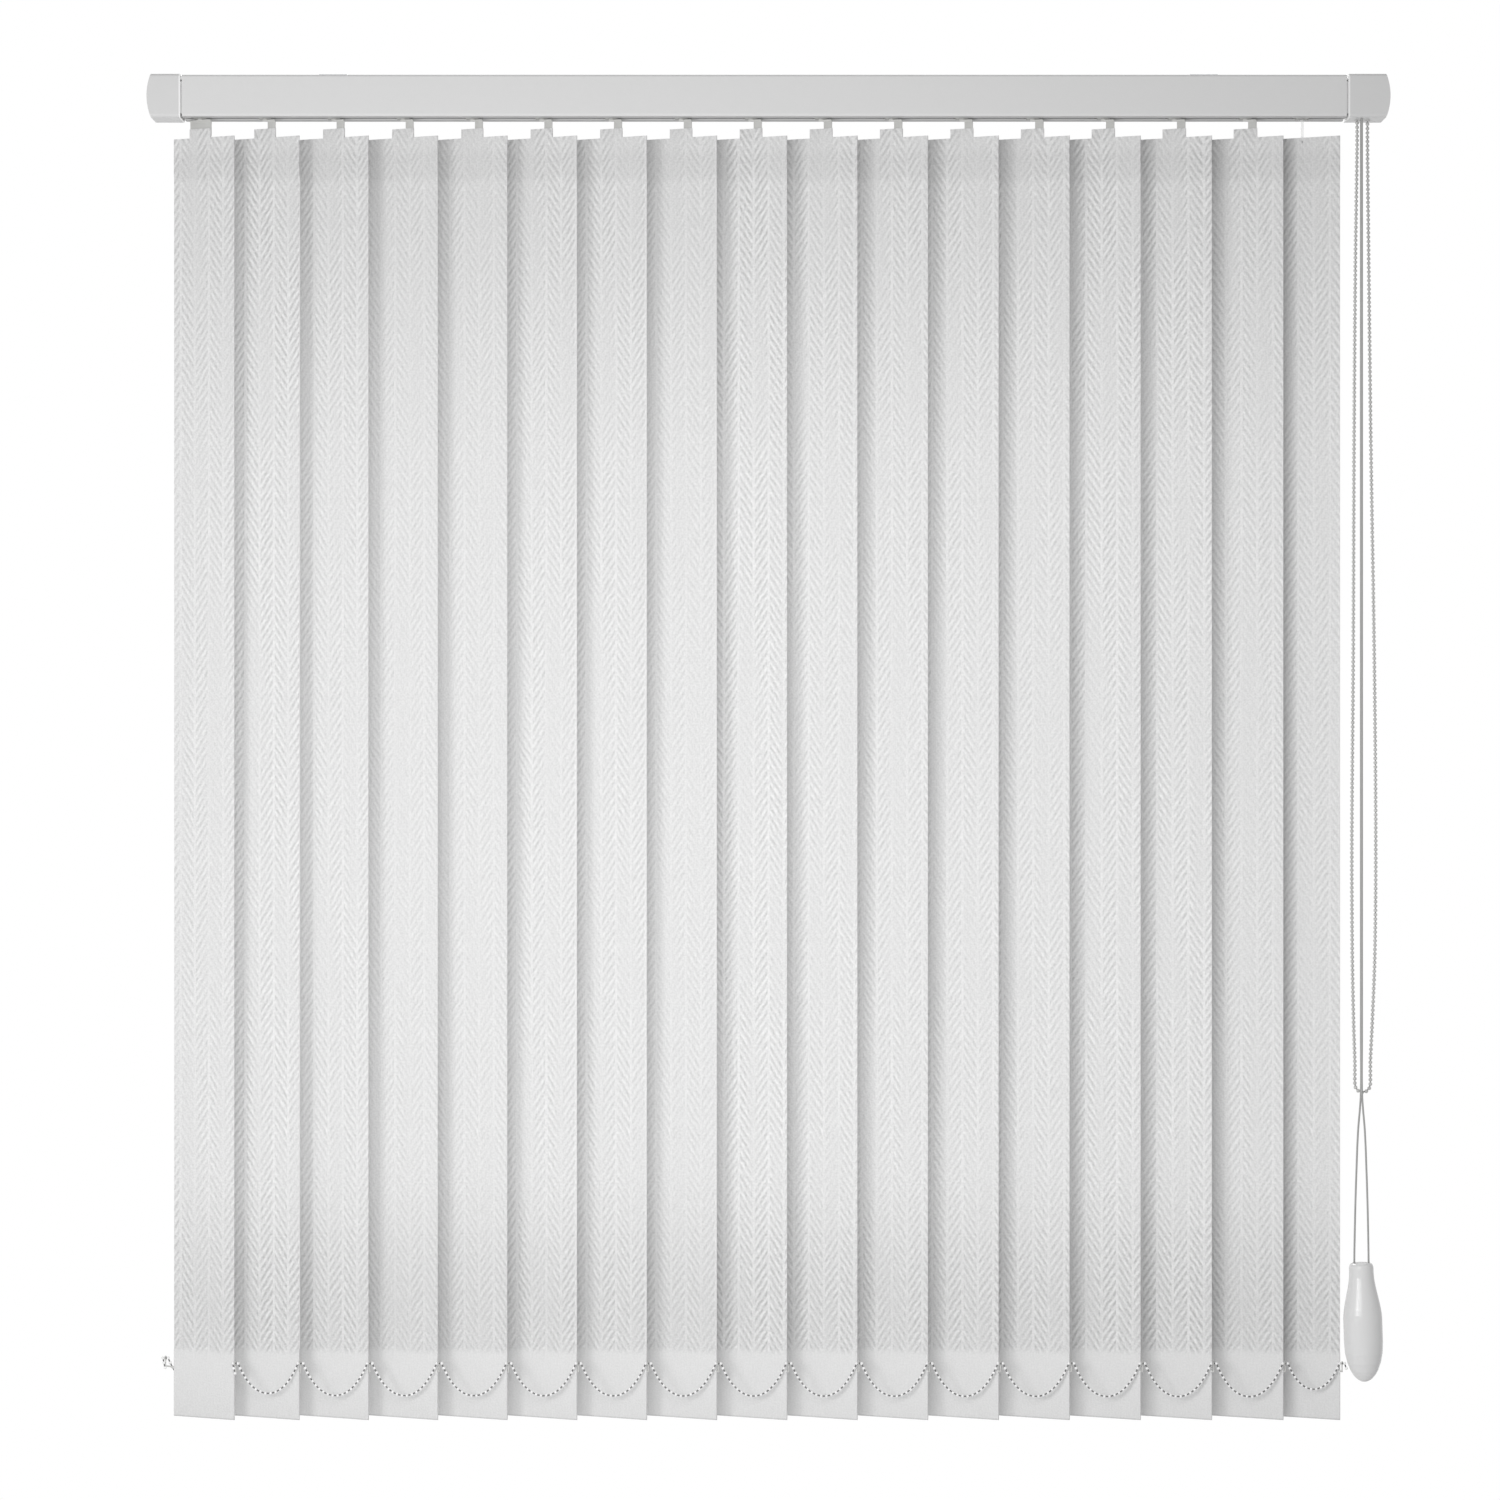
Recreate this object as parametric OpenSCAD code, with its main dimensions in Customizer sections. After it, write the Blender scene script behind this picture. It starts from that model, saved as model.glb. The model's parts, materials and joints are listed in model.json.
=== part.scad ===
// Vertical blind: slatted fabric vanes hung from carriers that slide and turn inside a headrail.
// X runs along the rail, -Y faces the room, +Z is up, and z = 0 is the face that the clips screw to.

/* [Headrail] */

// Overall width over both end caps
overall_w = 1425; // [1350:5:1500]
// Depth of the extruded rail from front to back
rail_depth = 42; // [40:0.5:46]
// Height of the extruded rail
rail_height = 48; // [47:0.5:52]
// Wall thickness of the extrusion
rail_wall = 1.6; // [1.2:0.1:2]
// Width of the slot along the underside
slot_w = 14; // [13.6:0.2:16]
// Length of the left end cap
left_cap_len = 38.5; // [34:0.5:44]
// Length of the right end cap with the controls
right_cap_len = 48; // [46:0.5:56]
// How far the caps stand proud of the rail all round
cap_proud = 1; // [0.4:0.1:1.4]
// Width of the shadow groove between a cap and the rail
seam = 1.8; // [0.6:0.1:2.4]
// Radius of the bulge on each cap's outer face
cap_bulge_r = 68; // [55:1:90]

/* [Top clips] */

// Thickness of the clip plate between rail and ceiling
clip_plate = 2; // [1.6:0.1:3]
// Length of each clip along the rail
clip_len = 32; // [24:1:44]
// Distance of each clip's screw from the blind's end
clip_inset = 212.5; // [150:2.5:350]
// Radius of the clip's screw hole
clip_hole_r = 2.3; // [1.8:0.1:3]

/* [Vanes] */

// Length of a fabric vane from top edge to bottom edge
vane_len = 1473; // [1440:1:1500]
// How far each vane is wider than the usual pitch
vane_overlap = 8.4; // [6:0.2:12]
// Thickness of the stiffened fabric
vane_t = 0.6; // [0.4:0.1:0.8]
// Thickness of the sewn top pocket
top_pocket_t = 1.8; // [1.4:0.1:2]
// Height of the sewn top pocket
top_pocket_h = 44; // [30:1:60]
// Thickness of the bottom pocket with its weight
weight_pocket_t = 2.2; // [1.6:0.1:2.4]
// Height of the bottom pocket
weight_pocket_h = 78; // [60:1:90]
// Angle of the vanes from the plane of the blind at rest
rest_tilt = 22; // [16:1:40]
// Gap between the first two vane axes
first_gap = 74.5; // [70:0.5:78]
// Gap between the last two vane axes
last_gap = 65; // [62:0.5:74]
// How much each gap between vanes is wider than the gap to its left
gap_growth = 0.2; // [0:0.02:0.3]
// Strip cut off the first vane along its free edge
first_trim = 10; // [0:0.5:12]

/* [Hooks] */

// Width of the tab on the vane's top edge
tab_w = 27.6; // [22:0.2:32]
// Height of the tab above the vane's top edge
tab_h = 10.4; // [9:0.2:12]
// Width of the hook's neck
neck_w = 10; // [8:0.2:12.4]
// Height of the hook's neck seen between rail and tab
neck_gap = 11; // [10:0.2:13]
// Radius of the hook's stem
stem_r = 3; // [2.6:0.1:3.2]

/* [Carriers] */

// Length of a carrier along the rail
carrier_len = 19; // [17:0.5:22]
// Space left between two carriers when the blind is stacked
stack_gap = 1; // [0.6:0.1:2]
// Radius of a carrier's rollers
roller_r = 4.2; // [3.8:0.1:4.4]

/* [Controls] */

// Radius of the fluted tilt rod
rod_r = 3; // [2.6:0.1:3.2]
// Diameter of the traverse cord
cord_d = 2.2; // [1.8:0.1:2.4]
// Diameter of a bead on the tilt chain
bead_d = 4.5; // [4:0.1:4.8]
// Pitch radius of the chain wheel
wheel_r = 6; // [5.8:0.1:6.6]
// How far the free loop of the tilt chain hangs below the rail
loop_drop = 1110; // [1060:5:1140]
// How far the cord weight's top hangs below the rail
weight_drop = 1315; // [1290:5:1340]
// Length of the cord weight
weight_len = 136.5; // [125:0.5:150]
// Largest radius of the cord weight
weight_r = 22.2; // [20:0.2:23]

/* [Bottom chains] */

// Diameter of a bead on the bottom chains
small_bead_d = 3.6; // [3:0.1:3.8]
// Usual distance between two beads on the bottom chains
small_bead_pitch = 5.9; // [5.4:0.1:6.6]
// Length of chain for each unit of span
chain_slack = 1.5; // [1.3:0.01:1.6]
// Height of the chain posts above the vane's bottom edge
post_up = 65.5; // [56:0.5:70]

/* [Hidden] */

$fn = 48;
vane_count = 17;

function nn(k) = k < 10 ? str("0", k) : str(k);

// Clearances
run_gap = 0.06;
body_gap = 0.3;

// Rail
rail_left = -overall_w / 2 + left_cap_len;
rail_right = overall_w / 2 - right_cap_len;
rail_len = rail_right - rail_left;
rail_top = -clip_plate;
rail_bot = rail_top - rail_height;
channel_h = 4;
lip_w = 12;
edge_r = 3;
floor_z = rail_bot + rail_wall;
ceil_z = rail_top - channel_h - rail_wall;
half_in = rail_depth / 2 - rail_wall;

// Lines that run through every carrier
rod_y = 11;
rod_z = floor_z + 20;
cord_r = cord_d / 2;
cord_z = floor_z + 27;
cord_y1 = -6.2;
cord_y2 = -14.2;
cord_mid = (cord_y1 + cord_y2) / 2;
return_r = (cord_y1 - cord_y2) / 2;

// Vane axes along X
x_first = rail_left + 20.2;
x_last = rail_right - 50.4;
pitch = (x_last - last_gap - x_first - first_gap) / (vane_count - 3);
vane_w = pitch + vane_overlap;
even = vane_count - 3;
function vane_x(k) =
    k == 1 ? x_first :
    k == vane_count ? x_last :
    x_first + first_gap + (k - 2) * pitch + gap_growth * (k - 2) * (k - 2 - even) / 2;
function gap_after(k) = vane_x(k + 1) - vane_x(k);
widest_gap = max(pitch + gap_growth * even / 2, first_gap, last_gap);
clip_x = overall_w / 2 - clip_inset;
stack_pitch = carrier_len + stack_gap;

// Vane levels
tab_top = rail_bot - neck_gap;
vane_top = tab_top - tab_h;
vane_bot = vane_top - vane_len;
post_z = vane_bot + post_up;

// Carrier levels above the rail's floor
sill = floor_z + 0.8;
shoulder = floor_z + 13;
roof = floor_z + 34;
boss_bot = rail_bot + 0.2;
head_z = floor_z + 17.3;
head_h = 5.4;
head_r = 6.5;

// Spacer strips, in as many levels as can lie over one another when stacked
strip_over = 6;
tunnel_h = ceil_z - roof - 1.8;
strip_reach = widest_gap + strip_over;
strip_levels = ceil((strip_reach + carrier_len / 2) / stack_pitch);
strip_rise = (tunnel_h - 0.6) / strip_levels;
strip_t = 0.5 * strip_rise;

// Chain posts: where a chain crosses a vane's edge, in the vane's own width and thickness
post_u = vane_w / 2 + 3;
post_v = -2.6;
function turned(u, v) =
    [u * cos(rest_tilt) + v * sin(rest_tilt), -u * sin(rest_tilt) + v * cos(rest_tilt)];
post_xy = turned(post_u, post_v);
bead_r = small_bead_d / 2;
thread_r = 0.5;
tab_t = 1.6;
peg_r = 1.4;

// Controls
wheel_x = rail_right + 19;
wheel_wide = bead_d + 0.7;
gear_r = 6;
gear_teeth = 12;
gear_face = 2.4;
gear_tip = 0.75;
gear_root = 1.05;
turn_r = 6;
turn_x = rail_right + 10.5;
turn_z = cord_z - turn_r;
pulley_w = 3.4;
axle_r = 1.5;
return_x = rail_left - 16;

// Cord weight, which hangs a little out of plumb
weight_lean = 1.75;
weight_x = wheel_x - 3;
weight_top = rail_bot - weight_drop;
neck_r = 14;
weight_turn = 8.3;
weight_turn_d = 15;

function arc(cx, cy, r, a0, a1, n) =
    [for (i = [0:n]) let (a = a0 + (a1 - a0) * i / n) [cx + r * cos(a), cy + r * sin(a)]];
function rounded(x0, y0, x1, y1, r) = concat(
    arc(x1 - r, y1 - r, r, 0, 90, 6), arc(x0 + r, y1 - r, r, 90, 180, 6),
    arc(x0 + r, y0 + r, r, 180, 270, 6), arc(x1 - r, y0 + r, r, 270, 360, 6));

// Extrudes a drawing of the (y, z) section along X, from x0 over a length
module along_x(x0, len) {
    translate([x0, 0, 0]) rotate([90, 0, 90]) linear_extrude(len) children();
}

// Cylinders along Y and along X
module y_cyl(x, y0, y1, z, r) {
    translate([x, y0, z]) rotate([-90, 0, 0]) cylinder(h = y1 - y0, r = r);
}
module x_cyl(x0, x1, y, z, r) {
    translate([x0, y, z]) rotate([0, 90, 0]) cylinder(h = x1 - x0, r = r);
}
module z_cyl(x, y, z0, z1, r) {
    translate([x, y, z0]) cylinder(h = z1 - z0, r = r);
}
module block(lo, hi) {
    translate(lo) cube(hi - lo);
}

// A round tube swept along a path of points, with its ends closed
function unit(v) = v / norm(v);
function tangent(p, i) = unit(p[min(i + 1, len(p) - 1)] - p[max(i - 1, 0)]);
module tube(path, r, side = [0, 1, 0], sides = 8) {
    count = len(path);
    pts = [for (i = [0:count - 1])
        let (t = tangent(path, i), a = unit(side - (side * t) * t), b = cross(t, a))
        for (j = [0:sides - 1])
        path[i] + r * (cos(360 * j / sides) * a + sin(360 * j / sides) * b)];
    skin = [for (i = [0:count - 2], j = [0:sides - 1])
        let (n = (j + 1) % sides)
        each [[i * sides + j, i * sides + n, (i + 1) * sides + n],
              [i * sides + j, (i + 1) * sides + n, (i + 1) * sides + j]]];
    first = [for (j = [1:sides - 2]) [0, j + 1, j]];
    last = [for (j = [1:sides - 2]) (count - 1) * sides * [1, 1, 1] + [0, j, j + 1]];
    polyhedron(points = pts, faces = [for (f = concat(skin, first, last)) [f[0], f[2], f[1]]]);
}

// Headrail

module rail_section() {
    h = rail_depth / 2;
    lip_in = h - lip_w;
    slot = slot_w / 2;
    outer = concat(
        [[slot, rail_bot]],
        arc(h - edge_r, rail_bot + edge_r, edge_r, 270, 360, 5),
        arc(h - edge_r, rail_top - edge_r, edge_r, 0, 90, 5),
        [[lip_in, rail_top], [lip_in, rail_top - rail_wall], [half_in, rail_top - rail_wall - 0.01],
         [half_in, rail_top - channel_h], [-half_in, rail_top - channel_h],
         [-half_in, rail_top - rail_wall - 0.01], [-lip_in, rail_top - rail_wall], [-lip_in, rail_top]],
        arc(-h + edge_r, rail_top - edge_r, edge_r, 90, 180, 5),
        arc(-h + edge_r, rail_bot + edge_r, edge_r, 180, 270, 5),
        [[-slot, rail_bot], [-slot, floor_z], [-half_in + 1.5, floor_z], [-half_in, floor_z + 1.5],
         [-half_in, ceil_z], [half_in, ceil_z], [half_in, floor_z + 1.5], [half_in - 1.5, floor_z],
         [slot, floor_z]]);
    polygon(outer);
}
module headrail() {
    color([0.86, 0.86, 0.85]) along_x(rail_left + seam, rail_len - 2 * seam) rail_section();
}

// End caps

cap_lo = [-rail_depth / 2 - cap_proud, rail_bot - cap_proud];
cap_hi = [rail_depth / 2 + cap_proud, rail_top + cap_proud];
cap_mid = (rail_top + rail_bot) / 2;
cap_wall = 2.2;

// A closed box with a bulged outer face; side is -1 at the left and 1 at the right
module cap_body(side, inner_x, len) {
    outer_x = inner_x + side * len;
    start = side > 0 ? inner_x : outer_x;
    intersection() {
        along_x(start, len) polygon(rounded(cap_lo[0], cap_lo[1], cap_hi[0], cap_hi[1], 3.6));
        y_cyl(outer_x - side * cap_bulge_r, -rail_depth, rail_depth, cap_mid, cap_bulge_r);
    }
}
module cap_cavity(side, inner_x, len, web) {
    a = inner_x + side * web;
    b = inner_x + side * (len - 6);
    block([min(a, b), cap_lo[0] + cap_wall, cap_lo[1] + cap_wall],
          [max(a, b), cap_hi[0] - cap_wall, cap_hi[1] - cap_wall]);
}
// Cheeks that plug into the rail's ends
module cap_cheeks(side, inner_x, len) {
    a = inner_x - side * len;
    for (s = [-1, 1])
        block([min(a, inner_x), s > 0 ? half_in - 1.8 : -half_in + 0.2, floor_z + 2],
              [max(a, inner_x), s > 0 ? half_in - 0.2 : -half_in + 1.8, ceil_z - 2]);
}

module end_cap_left() {
    web = 4;
    color([0.88, 0.88, 0.87]) {
        difference() {
            union() {
                cap_body(-1, rail_left, left_cap_len);
                cap_cheeks(-1, rail_left, 8);
            }
            difference() {
                cap_cavity(-1, rail_left, left_cap_len, web);
                block([return_x - 8, cap_lo[0], cord_z - 5], [rail_left, 0, cord_z - 2.6]);
            }
            x_cyl(rail_left - web - 1, rail_left + 1, rod_y, rod_z, rod_r + run_gap);
            for (y = [cord_y1, cord_y2])
                x_cyl(rail_left - web - 1, rail_left + 1, y, cord_z, cord_r + 0.7);
            z_cyl(return_x, cord_mid, cord_z - 6, cord_z - 2, 1.2);
        }
    }
}

module end_cap_right() {
    web = 3;
    front = cap_lo[0] + cap_wall;
    back = cap_hi[0] - cap_wall;
    color([0.88, 0.88, 0.87]) {
        difference() {
            union() {
                difference() {
                    union() {
                        cap_body(1, rail_right, right_cap_len);
                        cap_cheeks(1, rail_right, 8);
                    }
                    cap_cavity(1, rail_right, right_cap_len, web);
                }
                y_cyl(turn_x, front - 0.5, cord_y2 - pulley_w / 2 - body_gap, turn_z, 3.4);
                y_cyl(wheel_x, rod_y + 5.2, back + 0.5, rod_z, 4.4);
            }
            x_cyl(rail_right - 1, rail_right + web + 1, rod_y, rod_z, rod_r + run_gap);
            for (y = [cord_y1, cord_y2])
                x_cyl(rail_right - 1, rail_right + web + 1, y, cord_z, cord_r + 0.7);
            y_cyl(turn_x, front - 0.4, 0, turn_z, axle_r);
            y_cyl(wheel_x, rod_y, back, rod_z, 2 + run_gap);
            for (s = [-1, 1])
                z_cyl(wheel_x + s * wheel_r, 0, cap_lo[1] - 1, cap_lo[1] + cap_wall + 1, bead_d / 2 + 1);
            for (y = [cord_y1, cord_y2])
                z_cyl(turn_x + turn_r, y, cap_lo[1] - 1, cap_lo[1] + cap_wall + 1, cord_r + 0.7);
        }
    }
}

// Top clips

module top_clip(x) {
    lip_in = rail_depth / 2 - lip_w;
    leg = lip_in - 0.4;
    under = rail_top - rail_wall - 0.2;
    color([0.75, 0.76, 0.77])
    difference() {
        along_x(x - clip_len / 2, clip_len) polygon([
            [-leg - 2, 0], [leg + 2, 0], [leg + 2, rail_top], [leg, rail_top],
            [leg, under], [leg + 2, under], [leg + 1, under - 1.4], [leg - 1.2, under - 1.4],
            [leg - 1.2, rail_top], [-leg + 1.2, rail_top],
            [-leg + 1.2, under - 1.4], [-leg - 1, under - 1.4], [-leg - 2, under], [-leg, under],
            [-leg, rail_top], [-leg - 2, rail_top]]);
        z_cyl(x, 0, rail_top - 1, 1, clip_hole_r);
    }
}

// Tilt drive

module tilt_rod() {
    x0 = rail_left - 3.6;
    x1 = wheel_x - gear_r;
    color([0.72, 0.73, 0.74]) {
        along_x(x0, x1 - x0) difference() {
            translate([rod_y, rod_z]) circle(r = rod_r);
            for (a = [45:90:315])
                translate([rod_y + (rod_r + 0.35) * cos(a), rod_z + (rod_r + 0.35) * sin(a)])
                    circle(r = 0.9);
        }
        x_cyl(x1 - 0.5, x1 + gear_face, rod_y, rod_z, 1.6);
    }
}

// One bevel gear, its big end at z = 0 and its pitch cone's tip at z = gear_r
module bevel(shift) {
    step = 360 / gear_teeth;
    tip = gear_r + gear_tip;
    root = gear_r - gear_root;
    ring = [for (i = [0:gear_teeth - 1]) let (a = (i + shift) * step)
        each [[root, a - 0.27 * step], [tip, a - 0.12 * step],
              [tip, a + 0.12 * step], [root, a + 0.27 * step]]];
    linear_extrude(height = gear_face, scale = 1 - gear_face / gear_r)
        polygon([for (p = ring) [p[0] * cos(p[1]), p[0] * sin(p[1])]]);
}
module rod_gear() {
    x1 = wheel_x - gear_r;
    color([0.9, 0.9, 0.88])
    difference() {
        translate([x1, rod_y, rod_z]) rotate([0, 90, 0]) bevel(0.5);
        x_cyl(x1 - 1, x1 + gear_face + 1, rod_y, rod_z, 1.6);
    }
}
module chain_wheel() {
    hub = wheel_r - bead_d / 2 - body_gap;
    w = wheel_wide / 2;
    color([0.9, 0.9, 0.88]) {
        difference() {
            y_cyl(wheel_x, -w - 1.2, rod_y - gear_r - gear_tip - body_gap, rod_z, wheel_r + 2);
            difference() {
                y_cyl(wheel_x, -w, w, rod_z, wheel_r + 3);
                y_cyl(wheel_x, -w - 1, w + 1, rod_z, hub);
            }
        }
        translate([wheel_x, rod_y - gear_r, rod_z]) rotate([-90, 0, 0]) bevel(0);
        y_cyl(wheel_x, w + 0.1, rod_y - gear_r + 0.1, rod_z, gear_r - gear_root - 0.3);
        y_cyl(wheel_x, 0, rod_y + 7.4, rod_z, 2);
    }
}

// Cord drive

// A grooved pulley about the Z axis, with the cord's middle at radius r
module pulley(r, w, bore) {
    bed = r - cord_r - body_gap;
    rim = r + 1.3;
    rotate_extrude() polygon([
        [bore, -w / 2], [rim, -w / 2], [rim, -w / 2 + 0.3], [bed, -cord_r - 0.1], [bed, cord_r + 0.1],
        [rim, w / 2 - 0.3], [rim, w / 2], [bore, w / 2]]);
}
module cord_pulley(y) {
    color([0.92, 0.92, 0.9])
        translate([turn_x, y, turn_z]) rotate([90, 0, 0]) pulley(turn_r, pulley_w, axle_r + run_gap);
}
module cord_axle() {
    color([0.72, 0.73, 0.74])
        y_cyl(turn_x, cap_lo[0] + cap_wall - 0.4, cord_y1 + pulley_w / 2 + 0.2, turn_z, axle_r);
}
module return_pulley() {
    color([0.92, 0.92, 0.9])
        translate([return_x, cord_mid, cord_z]) pulley(return_r, pulley_w, 1.2 + run_gap);
}
module return_pin() {
    color([0.72, 0.73, 0.74]) z_cyl(return_x, cord_mid, cord_z - 5, cord_z + pulley_w / 2 + 1, 1.2);
}
module rail_cord() {
    color([0.93, 0.93, 0.92]) {
        for (y = [cord_y1, cord_y2]) x_cyl(return_x, turn_x, y, cord_z, cord_r);
        translate([return_x, cord_mid, cord_z]) rotate([0, 0, 90]) rotate_extrude(angle = 180)
            translate([return_r, 0]) circle(r = cord_r);
    }
}

// Hanging traverse cord: over one pulley, down, round the weight's pulley, and up to the other
cord_x = turn_x + turn_r;
weight_mid = [weight_x, cord_mid, weight_top - weight_turn_d];
function leaned(d, u) = [weight_x + u * cos(weight_lean) + d * sin(weight_lean), cord_mid,
                         weight_top + u * sin(weight_lean) - d * cos(weight_lean)];
weight_hub = leaned(weight_turn_d, 0);
function strand_at(y, s, out, inward, down) =
    [cord_x + s * out, y + inward * (cord_mid - y), rail_bot - down * weight_drop];
function strand(y, s) = concat(
    [for (a = [90:-30:0]) [turn_x + turn_r * cos(a), y, turn_z + turn_r * sin(a)]],
    [for (down = [0.008, 0.27, 0.57, 0.8]) strand_at(y, s, 0, 0, down)],
    [strand_at(y, s, 0.2, 0.1, 0.853), strand_at(y, s, 3.6, 0.4, 0.886),
     strand_at(y, s, 5.6, 0.7, 0.92), strand_at(y, s, 7.2, 0.9, 0.958)]);
function reverse(p) = [for (i = [len(p) - 1:-1:0]) p[i]];
cord_path = concat(
    strand(cord_y1, -1),
    [for (a = [180:30:360])
        [weight_hub[0] + weight_turn * cos(a), cord_mid, weight_hub[2] + weight_turn * sin(a)]],
    reverse(strand(cord_y2, 1)));
module draw_cord() {
    color([0.93, 0.93, 0.92]) tube(cord_path, cord_r, side = [0.03, 1, 0.02]);
}

// Tilt chain: round the wheel, down one side, a free loop, and up the other side
chain_drop = [[-6, 0.027], [-8, 0.153], [-9.5, 0.342], [-10.5, 0.568], [-12, 0.748],
    [-11.5, 0.865], [-10, 0.937], [-8.6, 0.977]];
chain_rise = [[9.4, 0.977], [11.5, 0.937], [14.5, 0.865], [15.5, 0.748],
    [14, 0.568], [10, 0.342], [7.5, 0.153], [6, 0.027]];
function chain_at(p) = [wheel_x + p[0], 0, rail_bot - p[1] * loop_drop];
chain_path = concat(
    [for (a = [94, 115, 137, 158, 180]) [wheel_x + wheel_r * cos(a), 0, rod_z + wheel_r * sin(a)]],
    [for (p = chain_drop) chain_at(p)],
    [for (a = [190:20:350]) chain_at([0.4 + 9 * cos(a), 1]) + [0, 0, 10 * sin(a)]],
    [for (p = chain_rise) chain_at(p)],
    [for (a = [0, 22, 43, 65, 86]) [wheel_x + wheel_r * cos(a), 0, rod_z + wheel_r * sin(a)]]);
module tilt_chain() {
    color([0.93, 0.93, 0.92]) tube(chain_path, bead_d / 2);
}

// Cord weight

function ease(t) = t * t * (3 - 2 * t);
function weight_radius(d) =
    let (base = weight_len * 0.67, flare = min(1, max(0, (d - 10) / 55)))
    d < 6 ? neck_r - 4 + 4 * sqrt(max(0, 1 - pow(1 - d / 6, 2))) :
    d < base ? neck_r + (weight_r - neck_r) * ease(flare) :
    weight_r * sqrt(max(0, 1 - pow((d - base) / (weight_len - base), 2)));
weight_steps = concat([0, 1, 2.5, 4.5, 6, 10], [for (d = [16:6:64]) d], [70, 0.67 * weight_len],
    [for (a = [15, 30, 45, 55, 65, 72, 79, 85]) weight_len * (0.67 + 0.33 * sin(a))]);
module in_weight() {
    translate([weight_x, cord_mid, weight_top]) rotate([0, -weight_lean, 0]) children();
}
module cord_weight() {
    color([0.9, 0.9, 0.9]) in_weight() difference() {
        rotate_extrude() polygon(concat(
            [[0, 0]], [for (d = weight_steps) [weight_radius(d), -d]], [[0, -weight_len]]));
        block([-weight_turn - 2.2, -2.6, -weight_turn_d], [weight_turn + 2.2, 2.6, 1]);
        y_cyl(0, -2.6, 2.6, -weight_turn_d, weight_turn + 2.2);
        y_cyl(0, -8, 8, -weight_turn_d, axle_r);
    }
}
module weight_pulley() {
    color([0.92, 0.92, 0.9]) in_weight()
        translate([0, 0, -weight_turn_d]) rotate([90, 0, 0]) pulley(weight_turn, 4.4, axle_r + run_gap);
}
module weight_pin() {
    color([0.72, 0.73, 0.74]) in_weight() y_cyl(0, -8, 8, -weight_turn_d, axle_r);
}

// Carriers

module carrier_body(k) {
    half = carrier_len / 2;
    difference() {
        union() {
            block([-half, -17, shoulder], [half, 17, roof]);
            block([-half, -12.5, sill], [half, 12.5, shoulder + 0.5]);
            block([-7, -slot_w / 2 + 0.5, boss_bot], [7, slot_w / 2 - 0.5, sill + 0.5]);
            block([-half, -5.5, roof - 0.5], [half, 5.5, roof + tunnel_h + 1]);
            for (x = [-half + roller_r + 0.1, half - roller_r - 0.1]) {
                y_cyl(x, -17.8, 17.8, floor_z + roller_r + body_gap, 1.3);
                for (y = [-17.2, 13.2])
                    y_cyl(x, y, y + 4, floor_z + roller_r + body_gap, roller_r);
            }
        }
        block([-half - 1, -4.5, roof], [half + 1, 4.5, roof + tunnel_h]);
        z_cyl(0, 0, boss_bot - 1, head_z, stem_r + run_gap);
        z_cyl(0, 0, head_z - body_gap, head_z + head_h + body_gap, head_r + 0.4);
        x_cyl(-half - 1, half + 1, rod_y, rod_z, rod_r + body_gap);
        for (y = [cord_y1, cord_y2]) x_cyl(-half - 1, half + 1, y, cord_z, cord_r + 0.5);
    }
}
// A strip that reaches back through the carrier to its left and holds it at its distance
module spacer_strip(k) {
    half = carrier_len / 2;
    z = roof + 0.3 + (k % strip_levels + 0.25) * strip_rise;
    block([-half, -4.5, z], [half, 4.5, z + strip_t]);
    block([-gap_after(k - 1) - strip_over, -3.5, z], [1 - half, 3.5, z + strip_t]);
}
module carrier(k) {
    color([0.93, 0.93, 0.91]) translate([vane_x(k), 0, 0]) {
        carrier_body(k);
        if (k > 1) spacer_strip(k);
    }
}

// Vanes, drawn across X and then turned about their own axis

// The last vane has a plain top edge, without a tab
module fabric(trim, plain) {
    t = vane_t / 2;
    p = top_pocket_t / 2;
    w = weight_pocket_t / 2;
    side = [[p, vane_top], [p, vane_top - top_pocket_h + 3], [t, vane_top - top_pocket_h],
        [t, vane_bot + weight_pocket_h], [w, vane_bot + weight_pocket_h - 3],
        [w, vane_bot + 0.8], [w - 0.6, vane_bot]];
    difference() {
        union() {
            along_x(trim - vane_w / 2, vane_w - trim)
                polygon(concat(side, reverse([for (s = side) [-s[0], s[1]]])));
            if (!plain) block([-tab_w / 2, -tab_t / 2, vane_top - 1], [tab_w / 2, tab_t / 2, tab_top]);
        }
        if (plain) y_cyl(0, -2, 2, vane_top - 5, peg_r + 0.2);
        else y_cyl(tab_w / 4, -2, 2, tab_top - tab_h / 2, peg_r + 0.2);
    }
}
// The post that holds a bottom chain beside the vane's edge, on a small arm out of the pocket
module chain_post(trim) {
    reach = [3 + trim, post_v];
    z_cyl(post_u, post_v, post_z - 10, post_z - thread_r - body_gap, 0.7);
    translate([vane_w / 2 - trim, 0, post_z - 10]) rotate([0, 0, atan2(reach[1], reach[0])])
        block([-1, -0.7, 0], [norm(reach), 0.7, 1.6]);
}
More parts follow.
